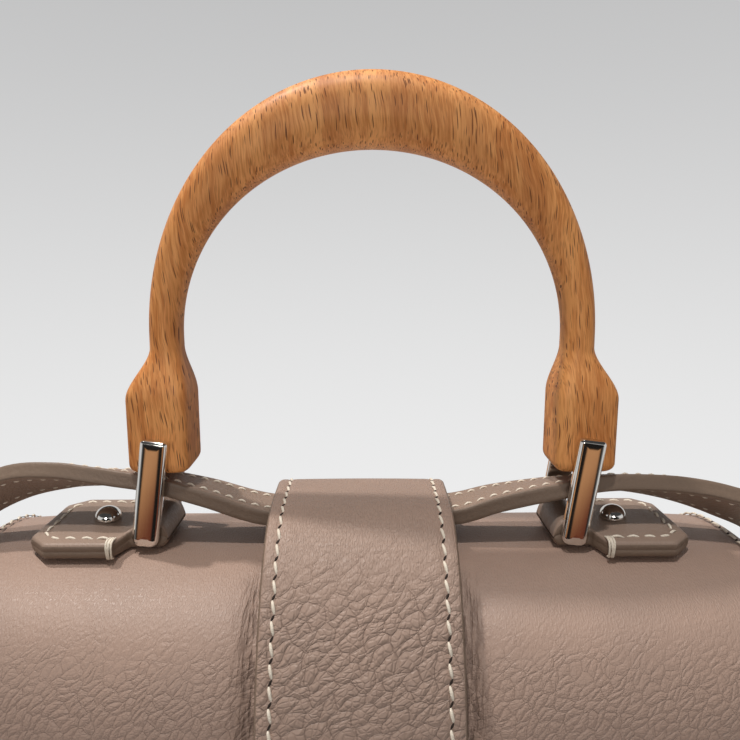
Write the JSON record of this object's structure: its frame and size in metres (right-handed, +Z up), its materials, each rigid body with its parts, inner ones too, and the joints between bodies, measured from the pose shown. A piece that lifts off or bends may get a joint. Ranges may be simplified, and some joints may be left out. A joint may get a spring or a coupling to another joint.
{
  "type": "top handle bag",
  "caption": "Small structured leather bag with a bent wooden top handle on metal loops, a front flap with a central band and turn lock, and a flat shoulder strap.",
  "frame": {"origin": "centre of the flat underside that the bag stands on", "axes": "+Z up, +X along the bag to the right, the flap and its lock face -Y"},
  "size_m": [0.257, 0.1703, 0.2667],
  "materials": {
    "grained_leather": "pebbled grain, taupe, soft sheen",
    "band_leather": "lightly grained, taupe, edge painted and saddle stitched",
    "suede": "matt suede lining",
    "board": "stiff fibre board",
    "beech": "satin lacquer over beech",
    "nickel": "polished nickel"
  },
  "bodies": {
    "bag": {"base_panel": "grained_leather", "base_board": "board", "back_and_top_panel": "grained_leather", "top_lining": "suede", "front_panel": "grained_leather", "gusset_left": "grained_leather", "gusset_right": "grained_leather", "lining": "suede", "inner_pocket": "suede", "band_back": "band_leather", "turnlock_base": "nickel", "turnlock_backplate": "nickel", "handle_tab_left": "band_leather", "handle_tab_right": "band_leather", "tab_rivet_left": "nickel", "tab_rivet_right": "nickel", "rivet_burr_left": "nickel", "rivet_burr_right": "nickel", "shoulder_strap": "band_leather", "strap_screw_left": "nickel", "strap_screw_right": "nickel"},
    "flap": {"flap_panel": "grained_leather", "flap_lining": "suede", "band_front": "band_leather", "turnlock_plate": "nickel"},
    "turnlock_knob": {"turnlock_knob": "nickel"},
    "loop_left": {"handle_loop_left": "nickel", "handle_pin_left": "nickel"},
    "loop_right": {"handle_loop_right": "nickel", "handle_pin_right": "nickel"},
    "handle": {"handle": "beech"}
  },
  "joints": [
    {"name": "flap_fold", "type": "hinge", "parent": "bag", "child": "flap", "pos_m": [0, -0.03875, 0.14012], "axis": [-1, 0, 0], "range_deg": [0, 110]},
    {"name": "turnlock_turn", "type": "hinge", "parent": "bag", "child": "turnlock_knob", "pos_m": [0, -0.05, 0.0465], "axis": [0, -1, 0], "range_deg": [0, 90]},
    {"name": "loop_left_swing", "type": "hinge", "parent": "bag", "child": "loop_left", "pos_m": [-0.0545, 0, 0.1529], "axis": [0, 1, 0], "range_deg": [-8.5, 8.2]},
    {"name": "loop_right_swing", "type": "hinge", "parent": "bag", "child": "loop_right", "pos_m": [0.0545, 0, 0.1529], "axis": [0, 1, 0], "range_deg": [-8.5, 8.2]},
    {"name": "handle_swing", "type": "hinge", "parent": "loop_left", "child": "handle", "pos_m": [-0.0515, 0, 0.1748], "axis": [0, 1, 0], "range_deg": [-8.2, 8.5]}
  ],
  "couplings": [
    {"joint": "loop_right_swing", "follows": "loop_left_swing", "ratio": 1},
    {"joint": "handle_swing", "follows": "loop_left_swing", "ratio": -1}
  ]
}
